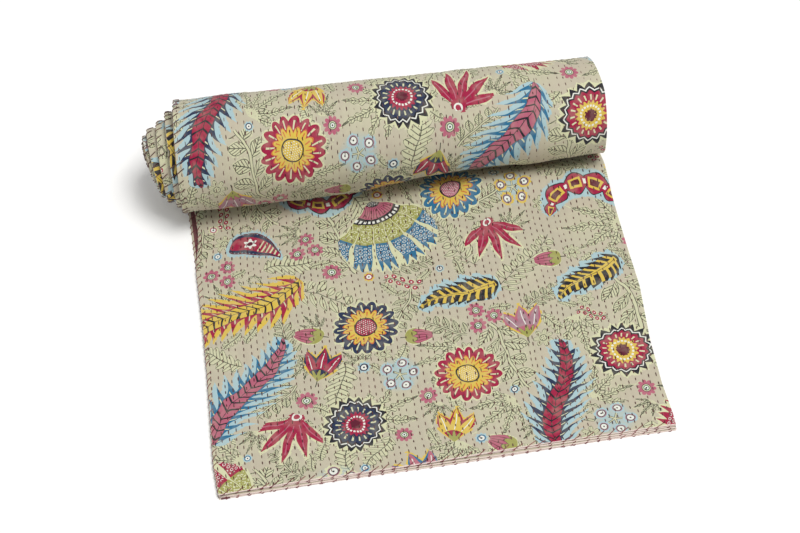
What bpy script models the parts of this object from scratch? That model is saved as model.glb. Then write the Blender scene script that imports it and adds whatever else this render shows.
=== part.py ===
"""A kantha quilt: folded lengthwise into a strip of four layers, rolled up from its far end, with a loose end
left lying flat. It is one piece of cloth, so it is one solid.

Metres, +Z up. The roll lies along X, the loose end runs out towards -Y, and the origin is under the middle of
the whole at the level of the surface that it lies on.
"""

import math

import bmesh
import bpy
import numpy as np
from mathutils import Vector

# The strip
QUILT_WIDTH = 2.286
LAYERS = 4
STRIP_WIDTH = QUILT_WIDTH / LAYERS
LAYER = 0.00155  # thickness of one layer: printed face, thin filling and backing, sewn together
SLIT = 0.0004  # air between two layers
STRIP = LAYERS * LAYER + (LAYERS - 1) * SLIT
LOOSE_LENGTH = 0.492  # from the line where the roll touches the surface to the strip's front edge

# Quilting: rows of running stitch along the strip, the cloth raised between them
QUILT_ROWS = 63
ROW_RELIEF = 0.0009
HEM_RELIEF = 0.25  # share of the relief that is left on the outermost half row

# The roll
TAPER = 0.10  # how much smaller the radius is at the right end than at the left
SKEW = 0.0042  # the roll's left end lies this far behind the contact line, its right end this far before it
STEPS = 22  # facets in one turn
FLAT_END = 0.0275  # in turns: where the flattened underside ends
NIP = 0.945  # in turns: from here on the outer turn's face lies on the loose end
SINK = 0.0006  # overlap of the roll and the loose end where they touch, so that they join
ROOT = 0.0068  # how far the loose end runs on inside the roll
ROOT_INSET = 0.0016  # how far its sides and its underside are drawn in there

# One row for each station along the winding, counted in turns from the contact line and starting up the back.
# radius: of the turn's outer face, left end. bottom: height of its lowest point. left, right: how far its
# edge stands out from the strip's own edge, + to the right. tilt: how much further it stands out at the
# top than at the bottom.
WINDING_COLUMNS = ("turn", "radius", "bottom", "left", "right", "tilt")
WINDING = np.array([
    (0.00, 0.0802, -0.0012, 0.0000, 0.0000, 0.000),
    (0.25, 0.0783, 0.0009, 0.0030, -0.0030, 0.000),
    (0.40, 0.0773, 0.0022, 0.0055, -0.0040, 0.000),
    (0.57, 0.0760, 0.0037, 0.0010, 0.0025, 0.000),
    (0.75, 0.0747, 0.0053, -0.0028, -0.0018, 0.000),
    (1.00, 0.0725, 0.0074, -0.0050, -0.0030, 0.000),
    (1.40, 0.0658, 0.0094, -0.0085, -0.0075, 0.000),
    (1.89, 0.0610, 0.0132, -0.0110, -0.0110, 0.001),
    (2.64, 0.0540, 0.0190, -0.0230, -0.0220, 0.003),
    (3.64, 0.0463, 0.0265, -0.0330, -0.0300, 0.006),
    (4.64, 0.0385, 0.0340, -0.0370, -0.0340, 0.007),
    (6.00, 0.0285, 0.0445, -0.0390, -0.0370, 0.006),
    (7.00, 0.0210, 0.0520, -0.0405, -0.0390, 0.004),
    (8.00, 0.0210, 0.0520, -0.0405, -0.0390, 0.004),
])
INNER_TURNS = 7
TILT_TOP = 0.39  # the share of a turn at which the tilted edges stand out furthest

# The roll's front underside along X, from the strip's middle: how far it is pushed in (+) or bulges (-)
DENT = np.array([
    (-0.2857, 0.000), (-0.220, -0.002), (-0.177, -0.0025), (-0.089, -0.0045), (-0.035, -0.004),
    (0.046, 0.004), (0.107, 0.011), (0.140, 0.009), (0.181, 0.002), (0.246, 0.0035), (0.2857, 0.003),
])
DENT_AT, DENT_SPREAD = 0.865, 0.075  # in turns

# The loose end's edges, as shifts of x along y
LEFT_EDGE = np.array([
    (-0.500, 0.000), (-0.446, -0.0026), (-0.378, -0.0003), (-0.307, 0.0022), (-0.233, 0.0034),
    (-0.159, 0.0033), (-0.066, 0.0022), (0.000, 0.0010),
])
RIGHT_EDGE = np.array([
    (-0.500, 0.000), (-0.469, 0.000), (-0.423, -0.0030), (-0.353, -0.0027), (-0.266, 0.0032),
    (-0.202, 0.0013), (-0.144, 0.0004), (0.000, 0.0000),
])
# How far each layer's front edge lies behind the bottom one's, top layer first, at its left and right end
FRONT_STEP = np.array([(0.0022, 0.0050), (0.0030, 0.0036), (0.0008, 0.0012), (0.0000, 0.0000)])
FRONT_WAVE = 0.0008  # the front edge is a little wavy
WAVE_ALONG, WAVE_PHASE = 11.0, 1.7  # radians over the strip's width, and from one layer to the next
FOLD_CORNER = 0.35 * LAYER  # how far a fold is drawn in at its outer corners

# The ripple that the upper two layers make in front of the roll: its height along X, from the strip's middle
RIPPLE = np.array([
    (-0.080, 0.0), (-0.020, 0.0015), (0.050, 0.008), (0.110, 0.0125), (0.180, 0.0125),
    (0.240, 0.0105), (0.2857, 0.0085),
])
RIPPLE_AT, RIPPLE_FRONT, RIPPLE_BACK = -0.060, 0.052, 0.034
RIPPLE_SPREAD = 0.08  # how much higher the top layer rises than the one under it
# Where the loose end has a section, in shares of its length
SECTIONS = (-1.0, -0.86, -0.69, -0.47, -0.30, -0.215, -0.170, -0.140, -0.110, -0.080, -0.050, -0.014)

CLOTH_COLOUR = (0.62, 0.54, 0.40)
CLOTH_ROUGHNESS = 0.9
SHARP_DEGREES = 40
WELD = 1e-6


def from_table(table, at):
    """Value of a two-column table at this place, running straight between its rows."""
    return float(np.interp(at, table[:, 0], table[:, 1]))


def winding(column, turn):
    return float(np.interp(turn, WINDING[:, 0], WINDING[:, WINDING_COLUMNS.index(column)]))


def rise(distance, front, back):
    """A smooth hump of height 1 at 0, with a longer front slope than back slope."""
    share = distance / (back if distance > 0 else front)
    return 0.5 + 0.5 * math.cos(math.pi * share) if abs(share) < 1 else 0.0


def quilting(column):
    """Height of the face over its stitch rows: columns lie by turns on a row and midway between two."""
    if column % 2:
        return -ROW_RELIEF / 2
    outermost = column in (0, 2 * QUILT_ROWS)
    return (HEM_RELIEF if outermost else 1.0) * ROW_RELIEF / 2


def across(column):
    """Share of the strip's width at a column of the quilting."""
    return column / (2 * QUILT_ROWS)


def new_material(name, colour, roughness):
    material = bpy.data.materials.new(name)
    material.use_nodes = True
    shader = material.node_tree.nodes["Principled BSDF"]
    shader.inputs["Base Color"].default_value = (*colour, 1.0)
    shader.inputs["Roughness"].default_value = roughness
    shader.inputs["Metallic"].default_value = 0.0
    return material


def new_object(name, bm):
    mesh = bpy.data.meshes.new(name)
    bm.to_mesh(mesh)
    bm.free()
    made = bpy.data.objects.new(name, mesh)
    bpy.context.scene.collection.objects.link(made)
    return made


def skin(bm, rows):
    """Quads between rows of vertices, one row after the other."""
    for near, far in zip(rows, rows[1:]):
        for i in range(len(near) - 1):
            bm.faces.new((near[i], near[i + 1], far[i + 1], far[i]))


# The loose end: its four layers back and forth in one section, drawn out along Y


def layer_levels(layer):
    """Lowest and highest Z of a layer, counted from the top one."""
    bottom = (LAYERS - 1 - layer) * (LAYER + SLIT)
    return bottom, bottom + LAYER


def ripple_lift(layer, share, y):
    height = from_table(RIPPLE, (share - 0.5) * STRIP_WIDTH) * (1 + RIPPLE_SPREAD * (1 - layer))
    return height * rise(y - RIPPLE_AT, RIPPLE_FRONT, RIPPLE_BACK)


def fold(share, first, second):
    """Outer side of the fold that joins two layers, from the first to the second."""
    side = 1 if second > first else -1
    return [
        (share, FOLD_CORNER, first, side, None),
        (share, 0.0, first, 0, None),
        (share, 0.0, second, 0, None),
        (share, FOLD_CORNER, second, -side, None),
    ]


def between_folds(layer, side):
    """Inner points of a layer's face from left to right, one wherever the ripple's height bends."""
    return [(x / STRIP_WIDTH + 0.5, 0.0, layer, side, None) for x, height in RIPPLE[1:-1]]


def section_outline():
    """(share of the width, inset from that edge, layer, side, column) round the back-and-forth section.

    side is +1 on a layer's upper face and -1 on its lower one. The first and third folds are at the right
    and the second is at the left; each fold is a little drawn in at its outer corners.
    """
    outline = [(across(column), 0.0, 0, 1, column) for column in range(2 * QUILT_ROWS)]
    outline += fold(1.0, 0, 1)
    outline += between_folds(1, -1)[::-1]
    outline += [(0.0, LAYER, 1, -1, None), (0.0, LAYER, 2, 1, None)]
    outline += fold(1.0, 2, 3)
    outline += [(0.0, 0.0, 3, -1, None), (0.0, 0.0, 3, 1, None)]
    outline += [(1.0, LAYER, 3, 1, None), (1.0, LAYER, 2, -1, None)]
    outline += fold(0.0, 2, 1)
    outline += between_folds(1, 1)
    outline += [(1.0, LAYER, 1, 1, None), (1.0, LAYER, 0, -1, None)]
    outline += between_folds(0, -1)[::-1]
    outline += [(0.0, 0.0, 0, -1, None)]
    return outline


def front_edge(layer, share):
    """How far a layer's front edge lies behind the foremost point."""
    left, right = FRONT_STEP[layer]
    return left + (right - left) * share + FRONT_WAVE * math.sin(WAVE_ALONG * share + WAVE_PHASE * layer)


def loose_point(place, y):
    """One point of the back-and-forth section, where that lies at this y."""
    share, inset, layer, side, column = place
    low, high = layer_levels(layer)
    first, last = y == -LOOSE_LENGTH, y == ROOT
    if first:
        y += front_edge(layer, share)
    shrink = ROOT_INSET if last else 0.0
    left_x = -STRIP_WIDTH / 2 + from_table(LEFT_EDGE, y) + shrink
    right_x = STRIP_WIDTH / 2 + from_table(RIGHT_EDGE, y) - shrink
    x = left_x + share * (right_x - left_x) + (inset if share < 0.5 else -inset)
    z = {1: high, 0: (low + high) / 2, -1: low}[side]
    if last:
        z = ROOT_INSET + z * (1 - ROOT_INSET / STRIP)
    elif column is not None:
        z += quilting(column) * (HEM_RELIEF if first else 1.0)
    if layer < 2 and not last:
        z += ripple_lift(layer, share, y)
    return Vector((x, y, z))


def close_section(bm, row, outline):
    """Faces over one end of the folded strip: one for each layer, and one for each fold between two layers."""
    layers = [place[2] for place in outline]
    made = []
    for layer in range(LAYERS):
        made.append(bm.faces.new([vertex for vertex, its_layer in zip(row, layers) if its_layer == layer]))
    for upper in range(LAYERS - 1):
        corners = []
        for i in range(len(row)):
            if {layers[i - 1], layers[i]} == {upper, upper + 1}:
                corners += [row[i - 1], row[i]]
        made.append(bm.faces.new(corners))
    bmesh.ops.triangulate(bm, faces=made)


def make_loose_end():
    outline = section_outline()
    bm = bmesh.new()
    rows = []
    for y in [LOOSE_LENGTH * share for share in SECTIONS] + [ROOT]:
        rows.append([bm.verts.new(loose_point(place, y)) for place in outline])
    skin(bm, [[*row, row[0]] for row in rows])
    close_section(bm, rows[0], outline)
    close_section(bm, rows[-1], outline)
    bmesh.ops.recalc_face_normals(bm, faces=bm.faces)
    return new_object("loose_end", bm)


# The roll: the outer turn's face with its quilting, and the stepped edges of the turns inside it at both ends


def roll_point(turn, share, x, raised=0.0):
    """A point on the outer face of a turn. raised lifts it along the radius."""
    radius = winding("radius", turn) * (1 - TAPER * share)
    centre_y = SKEW * (1 - 2 * share)
    centre_z = radius + winding("bottom", turn)
    if turn <= 1:
        middle_x = (share - 0.5) * STRIP_WIDTH
        radius -= from_table(DENT, middle_x) * rise(turn - DENT_AT, DENT_SPREAD, DENT_SPREAD)
    radius += raised
    angle = 2 * math.pi * turn
    y = centre_y + radius * math.sin(angle)
    z = max(centre_z - radius * math.cos(angle), 0.0)
    if NIP < turn <= 1:
        z = STRIP - SINK
    return Vector((x, y, z))


def edge_x(side, turn):
    """Where the strip's left or right edge lies at this turn of the winding."""
    tilt = winding("tilt", turn) * math.cos(2 * math.pi * (turn - TILT_TOP))
    if side == "left":
        return -STRIP_WIDTH / 2 + winding("left", turn) - tilt
    return STRIP_WIDTH / 2 + winding("right", turn) - tilt


def turn_at(step):
    """Turns at the start of a facet. The first facet is the flattened underside."""
    return FLAT_END + (1 - FLAT_END) * (step - 1) / (STEPS - 1) if step else 0.0


def roll_row(bm, step):
    """Vertices across the outer turn's face at the start of a facet, with the quilting on it."""
    turn = turn_at(step)
    left, right = edge_x("left", turn), edge_x("right", turn)
    hidden = step in (0, STEPS)
    row = []
    for column in range(2 * QUILT_ROWS + 1):
        share = across(column)
        raised = 0.0 if hidden else quilting(column)
        row.append(bm.verts.new(roll_point(turn, share, left + share * (right - left), raised)))
    return row


def add_stepped_end(bm, side, share, outer):
    """Closes one end of the roll: each turn's edge face, and the step from it to the next turn inside."""
    edge = outer
    for number in range(1, INNER_TURNS + 1):
        turns = [number + turn_at(step) for step in range(STEPS + 1)]
        foot = [bm.verts.new(roll_point(turn, share, edge_x(side, turn - 1))) for turn in turns]
        head = [bm.verts.new(roll_point(turn, share, edge_x(side, turn))) for turn in turns]
        skin(bm, [edge, foot])
        skin(bm, [foot, head])
        if number == 1:
            bm.faces.new((outer[0], foot[0], outer[-1]))
        edge = head
    bm.faces.new(edge[:-1])


def make_roll():
    bm = bmesh.new()
    rows = [roll_row(bm, step) for step in range(STEPS + 1)]
    skin(bm, rows)
    skin(bm, [rows[-1], rows[0]])
    add_stepped_end(bm, "left", 0.0, [row[0] for row in rows])
    add_stepped_end(bm, "right", 1.0, [row[-1] for row in rows])
    bmesh.ops.remove_doubles(bm, verts=bm.verts, dist=WELD)
    bmesh.ops.recalc_face_normals(bm, faces=bm.faces)
    return new_object("quilt", bm)


def lay_on_origin(*objects):
    """Moves the meshes so that the origin is under the middle of the whole."""
    corners = np.array([vertex.co for made in objects for vertex in made.data.vertices])
    low, high = corners.min(axis=0), corners.max(axis=0)
    shift = Vector((-(low[0] + high[0]) / 2, -(low[1] + high[1]) / 2, -low[2]))
    for made in objects:
        for vertex in made.data.vertices:
            vertex.co += shift


def join(whole, piece):
    """Makes the piece one with the whole."""
    piece.hide_render = True
    piece.display_type = "WIRE"
    union = whole.modifiers.new("join", "BOOLEAN")
    union.operation = "UNION"
    union.object = piece


def main():
    for old in list(bpy.data.objects):
        bpy.data.objects.remove(old, do_unlink=True)
    quilt = make_roll()
    loose_end = make_loose_end()
    lay_on_origin(quilt, loose_end)
    join(quilt, loose_end)
    quilt.data.materials.append(new_material("printed_cotton", CLOTH_COLOUR, CLOTH_ROUGHNESS))
    quilt.data.shade_smooth()
    quilt.data.set_sharp_from_angle(angle=math.radians(SHARP_DEGREES))


main()
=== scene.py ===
"""A rolled kantha quilt, dressed: its cloth, its running stitch and its whip-stitched hems.

Metres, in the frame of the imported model: the roll lies along X, the loose end runs out towards -Y.
"""

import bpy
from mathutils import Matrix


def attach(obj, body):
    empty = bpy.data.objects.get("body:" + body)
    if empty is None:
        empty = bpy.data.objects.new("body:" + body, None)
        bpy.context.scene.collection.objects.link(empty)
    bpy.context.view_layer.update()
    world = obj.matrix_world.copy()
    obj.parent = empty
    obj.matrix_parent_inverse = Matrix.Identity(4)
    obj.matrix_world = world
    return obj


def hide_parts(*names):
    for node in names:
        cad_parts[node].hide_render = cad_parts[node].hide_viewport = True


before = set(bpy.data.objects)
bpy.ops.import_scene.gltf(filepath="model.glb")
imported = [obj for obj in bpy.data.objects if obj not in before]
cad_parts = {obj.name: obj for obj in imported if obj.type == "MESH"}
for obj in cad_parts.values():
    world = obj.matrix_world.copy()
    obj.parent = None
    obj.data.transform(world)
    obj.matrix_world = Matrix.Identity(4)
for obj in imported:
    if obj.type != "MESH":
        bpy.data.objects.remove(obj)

import ast
import math
from collections import namedtuple

import bmesh
import bpy
import numpy as np
from mathutils import Matrix, Vector

bl_info = {
    "name": "Rolled kantha quilt",
    "version": (1, 0, 0),
    "blender": (4, 5, 0),
    "location": "View3D > Sidebar > Quilt",
    "description": "Builds the printed, quilted cloth of a rolled kantha quilt around its solid",
    "category": "Object",
}

NODE = "quilt"
BODY = "root"

# The strip, as in the solid. Here x and y count from the middle of the strip on the line where the roll
# touches the surface, and ORIGIN takes them to the model's own frame.
ORIGIN = np.array([0.021305, 0.205118, 0.0])
QUILT_WIDTH = 2.286
LAYERS = 4
STRIP_WIDTH = QUILT_WIDTH / LAYERS
LAYER = 0.00155
SLIT = 0.0004
STRIP = LAYERS * LAYER + (LAYERS - 1) * SLIT
LOOSE_LENGTH = 0.492
HEM_RADIUS = LAYER / 2
FOLD_RADIUS = LAYER + SLIT / 2

# The roll, as in the solid
TAPER = 0.10
SKEW = 0.0042
TILT_TOP = 0.39
WINDING_COLUMNS = ("turn", "radius", "bottom", "left", "right", "tilt")
WINDING = np.array([
    (0.00, 0.0802, -0.0012, 0.0000, 0.0000, 0.000),
    (0.25, 0.0783, 0.0009, 0.0030, -0.0030, 0.000),
    (0.40, 0.0773, 0.0022, 0.0055, -0.0040, 0.000),
    (0.57, 0.0760, 0.0037, 0.0010, 0.0025, 0.000),
    (0.75, 0.0747, 0.0053, -0.0028, -0.0018, 0.000),
    (1.00, 0.0725, 0.0074, -0.0050, -0.0030, 0.000),
    (1.40, 0.0658, 0.0094, -0.0085, -0.0075, 0.000),
    (1.89, 0.0610, 0.0132, -0.0110, -0.0110, 0.001),
    (2.64, 0.0540, 0.0190, -0.0230, -0.0220, 0.003),
    (3.64, 0.0463, 0.0265, -0.0330, -0.0300, 0.006),
    (4.64, 0.0385, 0.0340, -0.0370, -0.0340, 0.007),
    (6.00, 0.0285, 0.0445, -0.0390, -0.0370, 0.006),
    (7.00, 0.0210, 0.0520, -0.0405, -0.0390, 0.004),
    (8.00, 0.0125, 0.0600, -0.0410, -0.0400, 0.002),
])
LAST_TURN = 7.8
TURN_GAP = 0.0003
TIGHTEST, LOOSEST = 0.86, 1.45  # the strip's least and greatest thickness in the roll, as shares of its own
DENT = np.array([
    (-0.2857, 0.000), (-0.220, -0.002), (-0.177, -0.0025), (-0.089, -0.0045), (-0.035, -0.004),
    (0.046, 0.004), (0.107, 0.011), (0.140, 0.009), (0.181, 0.002), (0.246, 0.0035), (0.2857, 0.003),
])
DENT_AT, DENT_SPREAD = 0.865, 0.075
DENT_GONE = 1.02  # the dent fades out from turn 1 to this one
SETTLES_FROM, SETTLES_TO = 0.90, 0.955  # turns between which the outer turn comes down on the loose end

# The loose end, as in the solid
LEFT_EDGE = np.array([
    (-0.500, 0.000), (-0.446, -0.0026), (-0.378, -0.0003), (-0.307, 0.0022), (-0.233, 0.0034),
    (-0.159, 0.0033), (-0.066, 0.0022), (0.000, 0.0010),
])
RIGHT_EDGE = np.array([
    (-0.500, 0.000), (-0.469, 0.000), (-0.423, -0.0030), (-0.353, -0.0027), (-0.266, 0.0032),
    (-0.202, 0.0013), (-0.144, 0.0004), (0.000, 0.0000),
])
# In front of the roll the upper layers lie in from the lowest one's hem: (y, how far)
SET_IN = np.array([
    (-0.140, 0.0), (-0.120, 0.0020), (-0.098, 0.0060), (-0.072, 0.0090), (-0.035, 0.0090), (0.000, 0.0),
])
FRONT_STEP = np.array([(0.0022, 0.0050), (0.0030, 0.0036), (0.0008, 0.0012), (0.0000, 0.0000)])
FRONT_WAVE, WAVE_ALONG, WAVE_PHASE = 0.0008, 11.0, 1.7
FRONT_FADES = 0.06  # the steps of the front edges fade out over this length
RIPPLE = np.array([
    (-0.080, 0.0), (-0.020, 0.0015), (0.050, 0.008), (0.110, 0.0125), (0.180, 0.0125),
    (0.240, 0.0105), (0.2857, 0.0085),
])
RIPPLE_AT, RIPPLE_FRONT, RIPPLE_BACK, RIPPLE_SPREAD = -0.060, 0.052, 0.034, 0.08

# Quilting. Sizes in pairs are across the strip and along it.
QUILT_ROWS = 63
WANDER_LENGTH = 0.11
PUFF_LENGTH = 0.013
UNEVEN, UNEVEN_SIZE = 0.0007, (0.023, 0.026)
SLACK, SLACK_SIZE = 0.0009, (0.055, 0.070)
HEM_WIDTH = 0.005
HEM_RELIEF, SIDE_RELIEF = 0.3, 0.25  # the share of the relief that is left at an end hem and at a side
STITCH_FLATNESS = 0.7  # a stitch's height as a share of its width
FIRST_STITCH, END_FREE = 0.002, 0.010  # how far from the loose end's front and from the roll the rows stop
EDGE_FREE = 0.004  # no stitch comes nearer to the strip's edges than this share of its width
FACE_PROBE = 0.0015  # a step across the strip that finds which way its face looks

# The grids that the cloth is laid from
COLUMNS_PER_ROW = 4
GRID_STEP, INNER_STEP = 0.0027, 0.006
OUTER_ENDS = 1.04  # the turn at which the outer turn's cloth gives way to the inner turns'
HEM_STEPS, HEM_STARTS = 4, 20  # the end hem's rows, from this many degrees round it
WELD = 1e-6
LONGEST_PRINTED = 0.012  # longer faces are hidden ones, and carry no motif
BAKED_FINE = 0.75  # the share of the bake map's width that the finely divided face takes


# Smooth noise for the cloth's unevenness

LATTICE = 128


def noise(u, v, seed):
    """Smooth noise from -1 to 1, one bump per unit of u and v."""
    lattice = np.random.default_rng(seed).uniform(-1, 1, (LATTICE, LATTICE))
    u, v = np.broadcast_arrays(u, v)
    i, j = np.floor(u).astype(int), np.floor(v).astype(int)
    a, b = u - i, v - j
    a, b = a * a * (3 - 2 * a), b * b * (3 - 2 * b)
    near = lattice[i % LATTICE, j % LATTICE] * (1 - a) + lattice[(i + 1) % LATTICE, j % LATTICE] * a
    far = (
        lattice[i % LATTICE, (j + 1) % LATTICE] * (1 - a)
        + lattice[(i + 1) % LATTICE, (j + 1) % LATTICE] * a
    )
    return near * (1 - b) + far * b


def settings():
    return bpy.context.scene.quilt_settings


def smooth_step(low, high, at):
    share = np.clip((at - low) / (high - low), 0, 1)
    return share * share * (3 - 2 * share)


def table_at(table, at):
    return np.interp(at, table[:, 0], table[:, 1])


def winding(column, turn):
    return np.interp(turn, WINDING[:, 0], WINDING[:, WINDING_COLUMNS.index(column)])


def rise(distance, front, back):
    """A smooth hump of height 1 at 0."""
    share = np.clip(distance / np.where(distance > 0, back, front), -1, 1)
    return 0.5 + 0.5 * np.cos(math.pi * share)


# Quilting: where the rows run and how the cloth puffs between them


def row_wander(row, along):
    """How far a row of stitching strays sideways, in rows."""
    return 0.22 * noise(row * 0.9, 0.0, 21) + 0.16 * noise(row * 0.7, along / WANDER_LENGTH, 22)


def hem_share(least, from_edge):
    """The share of the relief that is left this far in from an edge: the sewing of a hem flattens it."""
    return least + (1 - least) * smooth_step(0, HEM_WIDTH, from_edge)


def relief(share, along):
    """Height of the quilted face over its mean level."""
    row = share * QUILT_ROWS
    row = row - row_wander(row, along)
    ridge = np.abs(np.cos(math.pi * row)) ** 0.75
    puff = 0.75 + 0.3 * noise(row * 1.1, along / PUFF_LENGTH, 23)
    height = settings().row_relief * (ridge * puff - 0.4)
    across = share * STRIP_WIDTH
    height = height + UNEVEN * noise(across / UNEVEN_SIZE[0], along / UNEVEN_SIZE[1], 24)
    height = height + SLACK * noise(across / SLACK_SIZE[0], along / SLACK_SIZE[1], 25)
    return height * hem_share(SIDE_RELIEF, np.minimum(share, 1 - share) * STRIP_WIDTH)


# The section of the folded strip

Station = namedtuple("Station", "share inset height mid_inset mid_height layer fine across printed")


def level(layer):
    """Height of the middle of a layer, counted from the top one, over the strip's lowest face."""
    return (LAYERS - 1 - layer) * (LAYER + SLIT) + LAYER / 2


def flat_across(layer, share):
    """Distance across the whole quilt from the top layer's sewn edge."""
    return (layer + (share if layer % 2 == 0 else 1 - share)) * STRIP_WIDTH


def run(layer, side, shares, fine=False):
    """Stations along one face of a layer. side is 1 for its upper face and -1 for its lower one."""
    left_hem = layer in (0, LAYERS - 1)
    left = HEM_RADIUS if left_hem or (layer, side) in ((1, 1), (2, -1)) else FOLD_RADIUS
    right = FOLD_RADIUS
    printed = (side == 1) == (layer % 2 == 0)
    made = []
    for share in shares:
        inset = left * (1 - share) - right * share
        height = level(layer) + side * LAYER / 2
        made.append(Station(
            share, inset, height, inset, level(layer), layer, fine, flat_across(layer, share), printed,
        ))
    return made


def arc(share, layers, radius, start, end, steps, printed):
    """Stations round a hem or a fold. start and end are the heights over its middle, in radii."""
    middle = (level(layers[0]) + level(layers[1])) / 2
    mid_radius = abs(level(layers[0]) - level(layers[1])) / 2
    outwards = 1 if share else -1
    reach = radius if outwards < 0 else -radius
    made = []
    for step in range(1, steps):
        angle = math.pi * step / steps
        up = math.cos(angle) if start > end else -math.cos(angle)
        out = math.sin(angle) * outwards
        part = (1 - up) / 2 if layers[0] < layers[1] else (1 + up) / 2
        layer = min(layers) + abs(layers[1] - layers[0]) * part
        made.append(Station(
            share, reach + radius * out, middle + radius * up, reach + mid_radius * out,
            middle + mid_radius * up, layer, False, flat_across(layers[0], share), printed,
        ))
    return made


def inner_turn(share, layers):
    """The inside of a fold: its two layers' faces meet there."""
    middle = (level(layers[0]) + level(layers[1])) / 2
    reach = FOLD_RADIUS if share == 0 else -FOLD_RADIUS
    return [Station(
        share, reach - (1 if share == 0 else -1) * SLIT / 2, middle, reach, middle,
        sum(layers) / 2, False, flat_across(layers[0], share), False,
    )]


def section(top, bottom, plain):
    """Stations round the back-and-forth section, with these shares on its top, its underside and between."""
    made = run(0, 1, top, fine=len(top) > len(plain))
    made += arc(1, (0, 1), FOLD_RADIUS, 1, -1, 8, True)
    made += run(1, -1, plain[::-1])
    made += inner_turn(0, (1, 2))
    made += run(2, 1, plain)
    made += arc(1, (2, 3), FOLD_RADIUS, 1, -1, 8, True)
    made += run(3, -1, bottom[::-1], fine=len(bottom) > len(plain))
    made += arc(0, (3, 3), HEM_RADIUS, -1, 1, 5, False)
    made += run(3, 1, plain)
    made += inner_turn(1, (3, 2))
    made += run(2, -1, plain[::-1])
    made += arc(0, (2, 1), FOLD_RADIUS, -1, 1, 8, False)
    made += run(1, 1, plain)
    made += inner_turn(1, (1, 0))
    made += run(0, -1, plain[::-1])
    made += arc(0, (0, 0), HEM_RADIUS, -1, 1, 5, False)
    return made


def columns(stations):
    """The stations' values as a namedtuple of arrays."""
    return Station(*(np.array([getattr(s, field) for s in stations], float) for field in Station._fields))


# Where a point of the strip lies


def front_shift(layer, share, y):
    """How far a layer lies behind the foremost point, near its front edge."""
    steps = np.arange(LAYERS)
    left = np.interp(layer, steps, FRONT_STEP[:, 0])
    right = np.interp(layer, steps, FRONT_STEP[:, 1])
    shift = left + (right - left) * share + FRONT_WAVE * np.sin(WAVE_ALONG * share + WAVE_PHASE * layer)
    return shift * (1 - smooth_step(0, FRONT_FADES, y + LOOSE_LENGTH))


def ripple_lift(layer, share, y):
    """How far the upper two layers rise in a ripple in front of the roll."""
    height = table_at(RIPPLE, (share - 0.5) * STRIP_WIDTH) * (1 + RIPPLE_SPREAD * (1 - layer))
    return height * rise(y - RIPPLE_AT, RIPPLE_FRONT, RIPPLE_BACK) * np.clip(2 - layer, 0, 1)


def loose_place(share, inset, height, layer, y, raised=0.0):
    """Points of the loose end, in the model's frame."""
    y = y + front_shift(layer, share, y)
    set_in = table_at(SET_IN, y) * np.clip(LAYERS - 1 - layer, 0, 1)
    left = -STRIP_WIDTH / 2 + table_at(LEFT_EDGE, y) + set_in
    right = STRIP_WIDTH / 2 + table_at(RIGHT_EDGE, y)
    x = left + share * (right - left) + inset
    z = height + raised + ripple_lift(layer, share, y)
    return np.stack(np.broadcast_arrays(x, y, z), axis=-1) + ORIGIN


def thickness_at(turn):
    """The strip's thickness in the roll, which follows the room between this turn and the next one inside."""
    angle = 2 * math.pi * turn
    next_turn = np.minimum(turn + 1, LAST_TURN)
    shrink = winding("radius", turn) - winding("radius", next_turn)
    lift = winding("bottom", next_turn) - winding("bottom", turn)
    room = shrink + (lift - shrink) * np.cos(angle)
    thickness = np.clip(room - TURN_GAP, TIGHTEST * STRIP, LOOSEST * STRIP)
    return np.where(turn + 1 < LAST_TURN, thickness, STRIP)


def edge_x(side, turn):
    """Where the strip's left or right edge lies at a turn."""
    tilt = winding("tilt", turn) * np.cos(2 * math.pi * (turn - TILT_TOP))
    sign = -1 if side == "left" else 1
    return sign * STRIP_WIDTH / 2 + winding(side, turn) - tilt


def roll_place(share, inset, height, turn, raised=0.0):
    """Points of the roll, in the model's frame. height counts from the strip's outer face inwards."""
    radius = winding("radius", turn) * (1 - TAPER * share)
    centre_y = SKEW * (1 - 2 * share)
    centre_z = radius + winding("bottom", turn)
    dent = table_at(DENT, (share - 0.5) * STRIP_WIDTH) * rise(turn - DENT_AT, DENT_SPREAD, DENT_SPREAD)
    radius = radius - dent * (1 - smooth_step(1.0, DENT_GONE, turn))
    spread = (thickness_at(turn) - LAYER) / (STRIP - LAYER)
    layer_height = np.clip(np.round((height - LAYER / 2) / (LAYER + SLIT)), 0, LAYERS - 1) * (LAYER + SLIT)
    height = layer_height * spread + (height - layer_height)
    radius = radius - height + raised
    angle = 2 * math.pi * turn
    y = centre_y + radius * np.sin(angle)
    z = centre_z - radius * np.cos(angle)
    settled = smooth_step(SETTLES_FROM, SETTLES_TO, turn) * (turn < 1)
    z = z + settled * (STRIP + SLIT + height - z)
    z = np.maximum(z, height)
    left, right = edge_x("left", turn), edge_x("right", turn)
    x = left + share * (right - left) + inset
    return np.stack(np.broadcast_arrays(x, y, z), axis=-1) + ORIGIN


def turn_lengths():
    """Turns, and the length of strip from the contact line to each, along the middle of the roll's face."""
    turns = np.linspace(0, 8, 4001)
    points = roll_place(0.5, 0.0, STRIP / 2, turns)
    steps = np.linalg.norm(np.diff(points, axis=0), axis=1)
    return turns, np.concatenate([[0], np.cumsum(steps)])


TURNS, LENGTHS = turn_lengths()


def turn_at(length):
    return np.interp(length, LENGTHS, TURNS)


def length_at(turn):
    return np.interp(turn, TURNS, LENGTHS)


# The print: inks, motif forms and where each lies on one repeat of the cloth

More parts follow.
